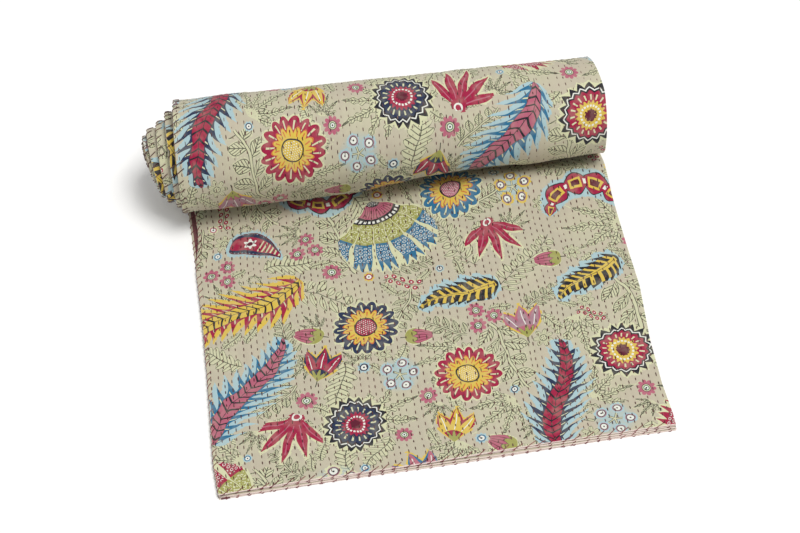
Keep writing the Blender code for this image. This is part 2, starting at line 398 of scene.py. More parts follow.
INKS = {
    "leaf": "#C8C8A6", "line": "#45463A", "ink": "#22232A", "crimson": "#9C1E42", "rose": "#B05F74",
    "mauve": "#A27B88", "teal": "#2A6A8E", "sky": "#A3C0C6", "yellow": "#D3B64C", "orange": "#C8703C",
    "olive": "#9A9A52", "white": "#E2E4DC", "maroon": "#5E1A2E", "green": "#43745A", "mist": "#CFD0AA",
    "navy": "#27324E",
}
MAIN_INKS = ("teal", "crimson", "navy", "rose")
SECOND_INKS = ("rose", "yellow", "crimson", "mauve")
THIRD_INKS = ("sky", "yellow", "sky", "mist")
WAVE_SCALE = 40  # wobbles of the drawing for each metre
GRAIN_SCALE = 420  # flecks of dry ink for each metre
PATCH_SCALE = 14.0  # pinker and greener patches of the ground, about 70 mm wide
FADE_SCALE = 70.0  # faded patches, about 14 mm wide
WEAR_SCALE = 90.0  # worn lengths of the thread, about 11 mm long
FADED = "#C9C3AC"

REPEAT = (0.60, 0.64)
GROWS_UP, ANYWHERE = 50, 180  # how far a motif's tip may turn from straight along the cloth
Motif = namedtuple("Motif", "kind x y size turn tint")
Form = namedtuple("Form", "name discs works paints")

# Values that all forms share. p and q are a motif's own coordinates, with its tip towards +q and its reach
# about 1; r and a are their polar form; fleck and bead are squared distances from staggered dots.
SHARED = (
    ("p", "p0 + (wave_x - 0.5) * min(9 / size, 0.16)"),
    ("q", "q0 + (wave_y - 0.5) * min(9 / size, 0.16)"),
    ("rough", "(grain - 0.5) * 6 / size"),
    ("line", "0.85 / size"),
    ("r", "sqrt(p * p + q * q)"),
    ("a", "atan2(p, q)"),
    ("fleck_x", "fract(p * size / 3.2 + 0.5 * mod(floor(q * size / 2.8), 2)) - 0.5"),
    ("fleck_y", "fract(q * size / 2.8) - 0.5"),
    ("fleck", "fleck_x * fleck_x + fleck_y * fleck_y"),
    ("bead_x", "fract(p * size / 6.4 + 0.5 * mod(floor(q * size / 5.6), 2)) - 0.5"),
    ("bead_y", "fract(q * size / 5.6) - 0.5"),
    ("bead", "bead_x * bead_x + bead_y * bead_y"),
)

# A pale wash lies round the sprigs
WASH = ("0.35 * max(1 - 1.4 * p * p - q * q, 0) * (kind > -0.5)", "leaf")
# Painted shadow: a dark maroon stripe on the reverse beside its sewn edge, where the upper layers lie in from
# its hem and leave a shaded gap. It shows only where the loose end's lowest layer does. u and v are metres of
# cloth.
GAP_SHADOW_MASK = "0.9 * near(u, 2.2785, 0.0056) * (v < 0.49)"

MOTIFS = (
    Form("bloom", ((0, 0, 1.02),), {
        "teeth": "2 * pingpong(a * 2.865, 0.5)",
        "ray": "fract(a * 2.865)",
    }, (
        ("r < 0.90 + 0.1 * teeth + rough", "mist"),
        ("r < 0.76 + 0.20 * teeth", "ink"),
        ("near(r, 0.69 + 0.09 * teeth, 0.02)", "white"),
        ("r < 0.62 + 0.08 * teeth", "main"),
        ("near(r, 0.52, 0.07) * near(ray, 0.5, 0.13)", "mist"),
        ("r < 0.40 + 0.04 * cos(a * 18)", "second"),
        ("near(r, 0.28, 0.03) * near(ray, 0.5, 0.3)", "white"),
        ("r < 0.17 + rough", "maroon"),
    )),
    Form("sun", ((0, 0, 1.02),), {
        "lobes": "abs(sin(a * 8))",
        "petals": "abs(cos(a * 8))",
    }, (
        ("r < 0.88 + 0.1 * lobes + rough", "mist"),
        ("r < 0.76 + 0.18 * lobes", "main"),
        ("near(r, 0.68, 0.13) * (lobes > 0.97)", "mist"),
        ("r < 0.48 + 0.17 * petals", "orange"),
        ("r < 0.45 + 0.16 * petals", "yellow"),
        ("near(r, 0.46, 0.08) * (petals > 0.96)", "orange"),
        ("r < 0.33", "ink"),
        ("r < 0.29", "second"),
        ("(r < 0.27) * (fleck < 0.06)", "white"),
    )),
    Form("spray", ((0, 0.15, 0.95),), {
        "reach": "sqrt(p * p + (q + 0.75) * (q + 0.75))",
        "side": "atan2(p, q + 0.75)",
        "length": "1.68 - 0.3 * abs(side)",
        "off": "abs(fract(side * 2.1 + 0.5) - 0.5) * reach / 2.1 + 0.5 * (abs(side) > 1.2)",
        "half": "0.15 * sin(3.1416 * min(reach / length, 1))",
    }, (
        ("(off < half + 0.07 + rough) * (reach < length * 1.04)", "mist"),
        ("off < half", "crimson"),
        ("(off < 0.018) * near(reach, length * 0.5, length * 0.3)", "rose"),
        ("reach < 0.24 + rough", "crimson"),
        ("near(reach, 0.12, 0.03)", "white"),
    )),
    Form("paisley", ((0, -0.35, 0.75), (0.05, 0.5, 0.6)), {
        "drift": "abs(p - 0.32 * (q * q - 0.35))",
        "waist": "0.42 - 0.26 * q",
        "nicks": "2 * pingpong(q * 7, 0.5)",
        "body": "waist * sqrt(max(1 - q * q, 0))",
        "from_eye": "sqrt((p + 0.08) * (p + 0.08) + (q + 0.32) * (q + 0.32))",
        "petals": "cos(atan2(p + 0.08, q + 0.32) * 6)",
    }, (
        ("drift < (waist + 0.10 * nicks) * sqrt(max(1.28 - q * q, 0)) + rough", "third"),
        ("drift < body * (0.9 + 0.1 * nicks)", "main"),
        ("drift < body * 0.66", "second"),
        ("(drift < body * 0.6) * (q > 0.06) * near(fract(q * 6), 0.5, 0.2)", "mist"),
        ("from_eye < 0.20 + 0.05 * petals", "white"),
        ("from_eye < 0.10", "maroon"),
        ("near(drift, body, 0.022) * (abs(q) < 0.97)", "maroon"),
    )),
    Form("plume", ((0, -0.64, 0.42), (-0.05, -0.2, 0.5), (0.05, 0.2, 0.5), (0, 0.64, 0.42)), {
        "spine": "abs(p - 0.16 * sin(2.6 * q))",
        "vane": "0.42 * sqrt(max(1 - q * q, 0)) * (1 - 0.2 * q)",
        "barb": "fract(q * 5.5 - spine * 3.2)",
        "rib": "vane * 0.3",
    }, (
        ("(spine < vane * (0.5 + 0.6 * barb) + 0.05 + rough) * (vane > 0.02)", "third"),
        ("spine < vane * (0.36 + 0.62 * barb * barb)", "main"),
        ("(spine < vane * (0.30 + 0.5 * barb * barb)) * near(barb, 0.62, 0.05)", "mist"),
        ("spine < rib + line * 0.6", "maroon"),
        ("spine < rib", "second"),
        ("near(fract(q * 8 - spine * 6), 0.5, 0.12) * (spine < rib)", "ink"),
        ("spine < line * 0.5", "ink"),
    )),
    Form("carnation", ((0, 0.12, 0.95),), {
        "spread": "sqrt(p * p + (q + 0.9) * (q + 0.9))",
        "lean": "atan2(p, q + 0.9)",
        "gap": "abs(fract(lean * 3.24) - 0.5)",
        "fan": "(abs(lean) < 0.926)",
        "frill": "2 * pingpong(lean * 9.72, 0.5)",
    }, (
        ("(spread < 1.74 + 0.12 * frill + rough) * (abs(lean) < 0.97)", "mist"),
        ("fan * (spread < 1.60 + 0.22 * frill) * (gap < 0.5 - 0.08 * spread)", "main"),
        ("fan * near(spread, 1.38, 0.2) * (gap < 0.36) * near(bead, 0.09, 0.035)", "white"),
        ("fan * (spread < 1.12) * (gap < 0.46)", "olive"),
        ("fan * near(spread, 0.88, 0.2) * (gap < 0.4) * (grain > 0.56)", "mist"),
        ("fan * (spread < 0.64)", "ink"),
        ("fan * near(spread, 0.57, 0.035) * near(fract(lean * 6.2), 0.5, 0.28)", "white"),
        ("fan * (spread < 0.48)", "second"),
        ("fan * (spread < 0.46) * near(fract(lean * 7), 0.5, 0.14)", "maroon"),
        ("fan * (spread < 0.2)", "ink"),
        ("fan * (spread < 0.18) * (fleck < 0.07)", "white"),
    )),
    Form("garland", ((-0.4, 0, 0.52), (-0.1, 0.58, 0.46), (-0.1, -0.58, 0.46), (0.4, 0.85, 0.34),
                     (0.4, -0.85, 0.34)), {
        "outer": "sqrt((p - 0.3) * (p - 0.3) + q * q)",
        "bearing": "atan2(q, 0.3 - p)",
        "taper": "sqrt(max(1 - bearing * bearing / 2.6, 0))",
        "scallop": "abs(sin(bearing * 5.5))",
        "band": "abs(outer - 0.86)",
    }, (
        ("(band < 0.30 * taper + 0.04 + rough) * (taper > 0.05)", "sky"),
        ("band < (0.12 + 0.15 * scallop) * taper", "ink"),
        ("band < (0.09 + 0.15 * scallop) * taper", "crimson"),
        ("(band < 0.11 * taper) * (scallop > 0.55)", "yellow"),
        ("(band < 0.06 * taper) * (scallop > 0.8)", "maroon"),
        ("near(scallop, 0.12, 0.12) * (band < 0.05 * taper)", "white"),
    )),
    Form("veined leaf", ((0, -0.6, 0.5), (0.1, 0.0, 0.5), (0.05, 0.6, 0.44)), {
        "spine": "abs(p - 0.14 * sin(2.4 * q))",
        "jag": "fract(q * 4.5 - spine * 2)",
        "wide": "0.33 * sqrt(max(1 - q * q, 0)) * (1 - 0.42 * q)",
        "wave": "wide + 0.12 + 0.05 * sin(q * 17)",
    }, (
        ("(spine < wave + rough) * (abs(q) < 1.02)", "sky"),
        ("spine < wide * (0.78 + 0.4 * jag)", "ink"),
        ("(spine < wide * 0.84) * near(fract(q * 5 - spine * 3), 0.5, 0.2)", "yellow"),
        ("(spine < 0.035 * (1.3 - q)) * (abs(q) < 0.94)", "yellow"),
        ("(spine < line * 0.4) * (abs(q) < 0.9)", "ink"),
    )),
    Form("tulip", ((0, -0.3, 0.62), (0, 0.4, 0.68)), {
        "far": "sqrt(p * p + (q + 0.72) * (q + 0.72))",
        "lean": "atan2(p, q + 0.72)",
        "off": "abs(fract(lean * 2.1 + 0.5) - 0.5) * far / 2.1",
        "tip": "0.33 * sin(3.1416 * min(far / 1.62, 1))",
        "open": "(abs(lean) < 0.714) * (off < tip)",
        "calyx": "0.46 + 0.13 * cos(lean * 13.2)",
    }, (
        ("(abs(lean) < 0.84) * (off < tip + 0.07 + rough) * (far < 1.72)", "yellow"),
        ("open", "main"),
        ("open * (off < tip * 0.6) * (far > 0.6)", "second"),
        ("open * (off < line * 0.7) * near(far, 1.0, 0.36)", "white"),
        ("(abs(lean) < 0.76) * (far < calyx)", "olive"),
        ("(abs(lean) < 0.76) * near(far, calyx, line * 0.5)", "ink"),
        ("(abs(p) < line * 0.8) * near(q, -0.84, 0.14)", "line"),
    )),
    Form("posy", ((0, 0, 1.0),), {
        "slice": "mod(a + 0.4, 1.2566) - 0.6283",
        "ring": "sqrt(r * r + 0.3844 - 1.24 * r * cos(slice))",
        "stalk": "abs(r * sin(slice))",
    }, (
        ("0.75 * max(1 - r * r * 1.1, 0)", "sky"),
        ("(stalk < line * 1.2) * (r < 0.45)", "leaf"),
        ("near(stalk, line * 1.3, line * 0.4) * (r < 0.45)", "line"),
        ("ring < 0.31 + rough", "third"),
        ("ring < 0.22", "mauve"),
        ("ring < 0.18", "ink"),
        ("ring < 0.145", "white"),
        ("ring < 0.04", "ink"),
    )),
    Form("trio", ((0, 0, 1.0),), {
        "slice": "mod(a, 2.0944) - 1.0472",
        "far": "sqrt(r * r + 0.3025 - 1.1 * r * cos(slice))",
        "ray": "atan2(r * sin(slice), r * cos(slice) - 0.55)",
    }, (
        ("far < 0.27 + 0.17 * power(abs(cos(ray * 4)), 0.7)", "rose"),
        ("far < 0.21", "ink"),
        ("far < 0.18", "leaf"),
        ("far < 0.135", "green"),
        ("far < 0.09", "white"),
        ("far < 0.04", "ink"),
    )),
    Form("bud", ((0, 0.05, 0.72), (0, -0.5, 0.45)), {
        "wide": "0.5 * sqrt(max(1 - (q - 0.15) * (q - 0.15) * 1.45, 0)) * (1.05 - 0.45 * q)",
        "sepals": "0.28 * abs(sin(p * 8)) - 0.25",
    }, (
        ("(abs(p) < wide + 0.08 + rough) * (wide > 0.02)", "mist"),
        ("abs(p) < wide", "rose"),
        ("(abs(p) < wide) * near(fract(2.5 * p / max(wide, 0.05)), 0.5, 0.1)", "maroon"),
        ("(abs(p) < wide + 0.02) * (wide > 0.02) * (q < sepals)", "olive"),
        ("(abs(p) < wide) * near(q, sepals, line * 0.5)", "ink"),
        ("(abs(p) < line * 0.8) * near(q, -0.8, 0.16)", "line"),
    )),
    Form("berry twig", ((0, -0.45, 0.5), (0, 0.45, 0.5)), {
        "bend": "p - 0.2 * sin(2.6 * q)",
        "away": "abs(bend)",
        "step": "(fract(q * 2.6 + 0.5 * (bend > 0)) - 0.5) / 2.6",
        "berry": "sqrt((away - 0.17) * (away - 0.17) + step * step)",
    }, (
        ("(berry < 0.175 + rough) * (abs(q) < 0.86)", "leaf"),
        ("(away < line * 0.7) * (abs(q) < 0.94)", "line"),
        ("(berry < 0.125) * (abs(q) < 0.86)", "crimson"),
        ("(berry < 0.04) * (abs(q) < 0.86)", "white"),
    )),
    Form("daisy", ((0, 0, 1.0),), {}, (
        ("r < 0.62 + 0.34 * power(abs(cos(a * 5)), 0.6)", "rose"),
        ("r < 0.46", "ink"),
        ("r < 0.40", "leaf"),
        ("r < 0.30", "green"),
        ("r < 0.21", "white"),
        ("r < 0.09", "ink"),
    )),
    Form("ring", ((0, 0, 1.0),), {}, (
        ("r < 0.86 + 0.1 * cos(a * 9)", "third"),
        ("r < 0.62", "main"),
        ("r < 0.42", "white"),
        ("r < 0.14", "ink"),
    )),
)
SPRIGS = (
    Form("branch", ((0, -0.55, 0.52), (0, 0, 0.56), (0, 0.55, 0.52)), {
        "bend": "p - 0.14 * sin(2.4 * q)",
        "away": "abs(bend)",
        "climb": "(fract(q * 2.5 + 0.5 * (bend > 0)) - 0.12) / 2.5",
        "reach": "away * 0.80 + climb * 0.60",
        "cross": "abs(away * 0.60 - climb * 0.80)",
        "tip": "0.58 - 0.2 * q",
        "blade": "0.14 * sin(3.1416 * reach / tip) * (reach < tip) * (abs(q) < 0.86)",
        "vein": "fract((reach - cross * 1.3) * 11)",
    }, (
        ("(cross < blade + 0.02 + rough) * (blade > 0)", "leaf"),
        ("(cross < blade) * max(max(cross > blade - line, cross < line * 0.6), vein < 0.25)", "line"),
        ("(away < 0.030) * (abs(q) < 0.95)", "leaf"),
        ("near(away, 0.034, line * 0.5) * (abs(q) < 0.95)", "line"),
    )),
    Form("fern", ((0, -0.62, 0.42), (0, -0.2, 0.46), (0, 0.2, 0.44), (0, 0.62, 0.4)), {
        "bend": "p - 0.2 * sin(2.2 * q)",
        "away": "abs(bend)",
        "climb": "(fract(q * 4.8 + 0.5 * (bend > 0)) - 0.1) / 4.8",
        "reach": "away * 0.88 + climb * 0.47",
        "cross": "abs(away * 0.47 - climb * 0.88)",
        "tip": "0.38 - 0.16 * q",
        "blade": "0.075 * sin(3.1416 * reach / tip) * (reach < tip) * (abs(q) < 0.9)",
    }, (
        ("(cross < blade + 0.015 + rough) * (blade > 0)", "leaf"),
        ("(cross < blade) * max(cross > blade - line, cross < line * 0.4)", "line"),
        ("(away < line * 0.5) * (abs(q) < 0.97)", "line"),
    )),
    Form("acanthus", ((0, -0.4, 0.58), (0, 0.35, 0.55)), {
        "arch": "abs(p - 0.18 * sin(2.2 * q))",
        "lobe": "0.5 * sqrt(max(1 - q * q, 0)) * (0.55 + 0.45 * abs(sin(q * 9 - arch * 4)))",
        "rib": "fract(q * 5.73 - arch * 3.2)",
    }, (
        ("arch < lobe + rough", "leaf"),
        ("(arch < lobe) * max(max(arch > lobe - line, arch < line * 0.7), rib < 0.17)", "line"),
    )),
    Form("fan leaf", ((0, 0.1, 0.95),), {
        "reach": "sqrt(p * p + (q + 0.85) * (q + 0.85))",
        "side": "atan2(p, q + 0.85)",
        "length": "1.75 - 0.45 * abs(side)",
        "off": "abs(fract(side * 1.9 + 0.5) - 0.5) * reach / 1.9 + 0.5 * (abs(side) > 1.3)",
        "blade": "0.17 * sin(3.1416 * min(reach / length, 1)) * (0.75 + 0.25 * sin(reach * 24))",
        "veins": "fract(reach * 9 - off * 9) < 0.2",
    }, (
        ("off < blade + 0.015 + rough", "leaf"),
        ("(off < blade) * (reach > 0.3) * max(max(off > blade - line, off < line * 0.6), veins)", "line"),
    )),
    Form("outline bloom", ((0, 0, 0.95),), {
        "petal": "0.42 + 0.45 * abs(cos(a * 3.5))",
        "strokes": "fract(a * 4.456) < 0.16 * (r > 0.3)",
    }, (
        ("r < petal + rough", "leaf"),
        ("(r < petal) * max(max(r > petal - line, near(r, 0.28, line * 0.5)), strokes)", "line"),
        ("(r < 0.26) * (fleck < 0.07)", "line"),
    )),
    Form("tendril", ((0, 0, 0.95),), {
        "coil": "fract(r * 1.6 - a * 0.159155)",
        "side": "abs(coil - 0.5) / 1.6",
        "leaf": "0.07 + 0.06 * sin(a * 7 + r * 9)",
    }, (
        ("(side < leaf + rough) * (r < 0.9) * (r > 0.1)", "leaf"),
        ("near(side, leaf, line * 0.5) * (r < 0.9) * (r > 0.1)", "line"),
        ("(side < line * 0.5) * (r < 0.9)", "line"),
    )),
)
KINDS = {form.name: number for forms in (MOTIFS, SPRIGS) for number, form in enumerate(forms)}

# What is thrown on one repeat, the largest first: form, how many, least and greatest reach, greatest turn
SCATTER = (
    ("plume", 3, 0.084, 0.090, ANYWHERE), ("carnation", 2, 0.064, 0.070, ANYWHERE),
    ("garland", 2, 0.058, 0.064, ANYWHERE), ("veined leaf", 3, 0.052, 0.058, ANYWHERE),
    ("sun", 3, 0.043, 0.049, ANYWHERE), ("bloom", 3, 0.043, 0.049, ANYWHERE),
    ("spray", 3, 0.038, 0.044, ANYWHERE), ("paisley", 3, 0.038, 0.046, ANYWHERE),
    ("tulip", 4, 0.032, 0.037, GROWS_UP), ("posy", 6, 0.028, 0.032, ANYWHERE),
    ("trio", 4, 0.024, 0.027, ANYWHERE), ("bud", 5, 0.021, 0.026, ANYWHERE),
    ("berry twig", 5, 0.022, 0.028, ANYWHERE), ("daisy", 8, 0.012, 0.015, ANYWHERE),
    ("ring", 16, 0.0065, 0.0095, ANYWHERE),
)
SPRIG_SCATTER = (
    ("branch", 10, 0.058, 0.072, ANYWHERE), ("fern", 8, 0.056, 0.070, ANYWHERE),
    ("fan leaf", 10, 0.038, 0.050, ANYWHERE), ("acanthus", 12, 0.028, 0.040, ANYWHERE),
    ("branch", 20, 0.030, 0.042, ANYWHERE), ("tendril", 6, 0.016, 0.022, ANYWHERE),
    ("fan leaf", 14, 0.018, 0.028, ANYWHERE), ("outline bloom", 12, 0.014, 0.019, ANYWHERE),
    ("acanthus", 40, 0.013, 0.020, ANYWHERE),
)
TRIES = 400
MOTIF_ROOM, SPRIG_ROOM = 0.98, 0.80
UNDER_MOTIFS = 0.55  # sprigs run in under the motifs up to this share of their reach


def discs_of(forms, motif):
    """The discs that a motif covers, as (x, y, radius)."""
    turn = math.radians(motif.turn)
    along, aside = np.array([math.sin(turn), math.cos(turn)]), np.array([math.cos(turn), -math.sin(turn)])
    return [
        (*(np.array([motif.x, motif.y]) + (aside * p + along * q) * motif.size), radius * motif.size)
        for p, q, radius in forms[KINDS[motif.kind]].discs
    ]


def wrapped(distance, period):
    return (distance + period / 2) % period - period / 2


def fits(discs, taken, room):
    """Whether these discs stay clear of all that are taken, on a cloth that repeats."""
    for x, y, radius in discs:
        away = np.hypot(wrapped(taken[:, 0] - x, REPEAT[0]), wrapped(taken[:, 1] - y, REPEAT[1]))
        if (away < (taken[:, 2] + radius) * room).any():
            return False
    return True


def scattered(forms, table, taken, seed, room):
    """Motifs thrown at random on one repeat, each kept where it fits."""
    random = np.random.default_rng(seed)
    made = []
    for name, count, least, greatest, turn in table:
        for number in range(count):
            for _ in range(TRIES):
                x, y = random.uniform(0, REPEAT[0]), random.uniform(0, REPEAT[1])
                size, angle = random.uniform(least, greatest), random.uniform(-turn, turn)
                motif = Motif(name, x, y, size, angle, (number % 4 + 0.5) / 4)
                discs = discs_of(forms, motif)
                if fits(discs, np.array(taken).reshape(-1, 3), room):
                    made.append(motif)
                    taken += discs
                    break
    return made


def lay_out_print():
    """(motifs, sprigs) of one repeat."""
    taken = []
    seed = settings().print_layout
    motifs = scattered(MOTIFS, SCATTER, taken, seed, MOTIF_ROOM)
    shrunk = [(x, y, radius * UNDER_MOTIFS) for x, y, radius in taken]
    return motifs, scattered(SPRIGS, SPRIG_SCATTER, shrunk, seed + 3, SPRIG_ROOM)


def place_motifs(forms, motifs, corners, middles):
    """For each face's corners: its motif's own coordinates, kind, reach in mm and colouring.

    corners is faces x 4 x (across, along) and middles is faces x 2.
    """
    best = np.full(len(middles), 1.0)
    local = np.zeros((*corners.shape[:2], 3))
    local[..., 2] = -1
    look = np.zeros((*corners.shape[:2], 3))
    for motif in motifs:
        turn = math.radians(motif.turn)
        axis = np.array([math.sin(turn), math.cos(turn)])
        side = np.array([math.cos(turn), -math.sin(turn)])
        middle = np.array([motif.x, motif.y])
        away = np.stack([wrapped(middles[:, i] - middle[i], REPEAT[i]) for i in (0, 1)], axis=1)
        near = np.full(len(middles), np.inf)
        for p, q, radius in forms[KINDS[motif.kind]].discs:
            disc = away - (side * p + axis * q) * motif.size
            near = np.minimum(near, np.hypot(disc[:, 0], disc[:, 1]) / (radius * motif.size + GRID_STEP))
        inside = near < best
        best[inside] = near[inside]
        offset = corners[inside] - middles[inside][:, None] + away[inside][:, None]
        local[inside, :, 0] = offset @ side / motif.size
        local[inside, :, 1] = offset @ axis / motif.size
        local[inside, :, 2] = KINDS[motif.kind]
        look[inside] = (motif.size * 1000, motif.tint, 0)
    return local, look


# Cloth pieces


def finish_piece(name, mesh, material):
    """Makes a finished piece: it takes its material, rides on the body and stands for the solid."""
    mesh.shade_smooth()
    mesh.materials.clear()
    mesh.materials.append(material)
    piece = bpy.data.objects.new(name, mesh)
    bpy.context.scene.collection.objects.link(piece)
    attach(piece, BODY)
    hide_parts(NODE)
    return piece


def cloth_mesh(name, stations, rows, place):
    """A closed mesh of the folded strip: a grid laid round the stations and along the rows.

    place gives the points for arrays of stations and row values; rows holds (value, roundness), where
    roundness under 1 draws a layer's end in to its middle.
    """
    across, along = len(stations), len(rows) - 1
    bm = bmesh.new()
    bm.loops.layers.uv.new("grid")
    bmesh.ops.create_grid(bm, x_segments=across, y_segments=along, size=0.5, calc_uvs=True)
    mesh = bpy.data.meshes.new(name)
    bm.to_mesh(mesh)
    bm.free()
    flat = np.empty(len(mesh.vertices) * 3, np.float32)
    mesh.vertices.foreach_get("co", flat)
    flat = flat.reshape(-1, 3)
    column = np.rint((flat[:, 0] + 0.5) * across).astype(int) % across
    row = np.rint((flat[:, 1] + 0.5) * along).astype(int)
    points = place(columns(stations), rows)
    mesh.vertices.foreach_set("co", points[row, column].astype(np.float32).ravel())
    bm = bmesh.new()
    bm.from_mesh(mesh)
    bmesh.ops.remove_doubles(bm, verts=bm.verts, dist=WELD)
    bm.to_mesh(mesh)
    bm.free()
    return mesh


def grid_coordinates(mesh, across, along):
    """For each face corner, its column and row on the grid that the mesh was laid from."""
    uv = np.empty(len(mesh.loops) * 2, np.float32)
    mesh.uv_layers["grid"].uv.foreach_get("vector", uv)
    uv = uv.reshape(-1, 2)
    return uv[:, 0] * across, uv[:, 1] * along


def write_cloth(mesh, stations, lengths):
    """Gives the mesh its cloth coordinates and the motifs of its print."""
    count = len(stations)
    column, row = grid_coordinates(mesh, count, len(lengths) - 1)
    table = columns(stations)
    face = np.arange(len(mesh.loops)) // 4
    column_low = np.floor(np.minimum.reduceat(column, np.arange(0, len(column), 4)) + 0.5)[face]
    at = np.rint(column).astype(int)
    across = table.across[at % count]
    along = lengths[np.rint(row).astype(int)]
    first = column_low.astype(int) % count
    second = (first + 1) % count
    printed = (table.printed[first] > 0) & (table.printed[second] > 0)
    corners = np.stack([across, along], axis=1).reshape(-1, 4, 2)
    middles = corners.mean(axis=1)
    span = np.ptp(corners, axis=1).max(axis=1)
    shown = printed.reshape(-1, 4)[:, 0] & (span < LONGEST_PRINTED)
    cloth = mesh.uv_layers.new(name="cloth")
    cloth.uv.foreach_set("vector", corners.astype(np.float32).ravel())
    motifs, sprigs = lay_out_print()
    for prefix, forms, placed in (("motif", MOTIFS, motifs), ("sprig", SPRIGS, sprigs)):
        local = np.zeros((len(middles), 4, 3))
        local[..., 2] = -1
        look = np.zeros((len(middles), 4, 3))
        local[shown], look[shown] = place_motifs(forms, placed, corners[shown], middles[shown])
        for suffix, values in (("", local), ("_look", look)):
            attribute = mesh.attributes.new(prefix + suffix, "FLOAT_VECTOR", "CORNER")
            attribute.data.foreach_set("vector", values.astype(np.float32).ravel())


def bake_map(mesh, stations):
    """A map named for the bake, on which the finely divided face takes most of the width."""
    count = len(stations)
    column, row = grid_coordinates(mesh, count, 1)
    fine = np.array([s.fine for s in stations], float)
    widths = np.where((fine > 0) & (np.roll(fine, -1) > 0), 1.0, 0.0)
    coarse = widths == 0
    widths = widths / max(widths.sum(), 1) * BAKED_FINE + coarse / max(coarse.sum(), 1) * (1 - BAKED_FINE)
    edges = np.concatenate([[0], np.cumsum(widths)])
    u = np.interp(column, np.arange(count + 1), edges / edges[-1])
    layer = mesh.uv_layers.new(name="OFBake")
    layer.uv.foreach_set("vector", np.stack([u, row], axis=1).astype(np.float32).ravel())


def close_ends(mesh, stations):
    """Caps both ends of the folded strip, each with one face cut into triangles."""
    bm = bmesh.new()
    bm.from_mesh(mesh)
    open_edges = [edge for edge in bm.edges if edge.is_boundary]
    bmesh.ops.holes_fill(bm, edges=open_edges, sides=0)
    caps = [face for face in bm.faces if len(face.verts) > 4]
    bmesh.ops.triangulate(bm, faces=caps)
    bmesh.ops.recalc_face_normals(bm, faces=bm.faces)
    bm.to_mesh(mesh)
    bm.free()


def loose_rows():
    """(y, roundness) of the loose end's rows, from its front edge to the contact line."""
    made = []
    for step in range(HEM_STEPS):
        angle = math.radians(HEM_STARTS + (90 - HEM_STARTS) * step / HEM_STEPS)
        made.append((-LOOSE_LENGTH + HEM_RADIUS * (1 - math.cos(angle)), math.sin(angle)))
    start = -LOOSE_LENGTH + HEM_RADIUS
    count = round(-start / GRID_STEP)
    made += [(start * (1 - step / count), 1.0) for step in range(count + 1)]
    return np.array(made)


def place_loose_end(table, rows):
    y = rows[:, 0][:, None]
    round_to = rows[:, 1][:, None]
    inset = table.mid_inset + (table.inset - table.mid_inset) * round_to
    height = table.mid_height + (table.height - table.mid_height) * round_to
    raised = np.where(table.fine > 0, relief(table.share, y + LOOSE_LENGTH), 0) * round_to
    raised = raised * hem_share(HEM_RELIEF, y + LOOSE_LENGTH)
    return loose_place(table.share, inset, height, table.layer, y, raised)


def place_roll(table, rows):
    turn = rows[:, 0][:, None]
    raised = np.where(table.fine > 0, relief(table.share, length_at(turn)), 0)
    return roll_place(table.share, table.inset, table.height, turn, raised)


FINE = np.linspace(0, 1, QUILT_ROWS * COLUMNS_PER_ROW + 1)
COARSE = np.linspace(0, 1, 25)
HIDDEN = np.linspace(0, 1, 7)
MARGIN = np.linspace(0, 0.08, 15)
FINE_MARGINS = np.concatenate([MARGIN, np.linspace(0.08, 0.92, 9)[1:-1], 1 - MARGIN[::-1]])


def turn_rows(start, end, step):
    """(turn, roundness) of the roll's rows between two turns, evenly spaced along the strip."""
    count = max(2, round((length_at(end) - length_at(start)) / step))
    lengths = np.linspace(length_at(start), length_at(end), count + 1)
    return np.stack([turn_at(lengths), np.ones(count + 1)], axis=1)


def make_cloth(name, stations, rows, place, lengths, material):
    mesh = cloth_mesh(name, stations, rows, place)
    write_cloth(mesh, stations, lengths)
    bake_map(mesh, stations)
    mesh.uv_layers.remove(mesh.uv_layers["grid"])
    close_ends(mesh, stations)
    return finish_piece(name, mesh, material)


# Materials


def add(tree, kind, inputs=(), **settings):
    """Adds a node with its settings. inputs gives sockets to link or values to set, by name or number."""
    node = tree.nodes.new(kind)
    for name, value in settings.items():
        setattr(node, name, value)
    for name, value in dict(inputs).items():
        if isinstance(value, bpy.types.NodeSocket):
            tree.links.new(value, node.inputs[name])
        else:
            node.inputs[name].default_value = value
    return node


def linear(hex_colour):
    """An sRGB hex colour as linear RGBA."""
    channels = [int(hex_colour[i:i + 2], 16) / 255 for i in (1, 3, 5)]
    return (*[c / 12.92 if c <= 0.04045 else ((c + 0.055) / 1.055) ** 2.4 for c in channels], 1.0)


SHARE, UNDER, OVER, MIXED = 0, 6, 7, 2  # the sockets of a Mix node that mixes colours
OPERATORS = {ast.Add: "ADD", ast.Sub: "SUBTRACT", ast.Mult: "MULTIPLY", ast.Div: "DIVIDE"}
COMPARISONS = {ast.Lt: "LESS_THAN", ast.Gt: "GREATER_THAN"}
FUNCTIONS = {
    "sin": "SINE", "cos": "COSINE", "sqrt": "SQRT", "abs": "ABSOLUTE", "fract": "FRACT", "floor": "FLOOR",
    "min": "MINIMUM", "max": "MAXIMUM", "atan2": "ARCTAN2", "pingpong": "PINGPONG", "near": "COMPARE",
    "power": "POWER", "mod": "FLOORED_MODULO",
}


def expression(tree, text, known):
    """Adds the Math nodes that work a formula out. known gives the socket or number that each name means."""
    return solve(tree, ast.parse(text).body[0].value, known)


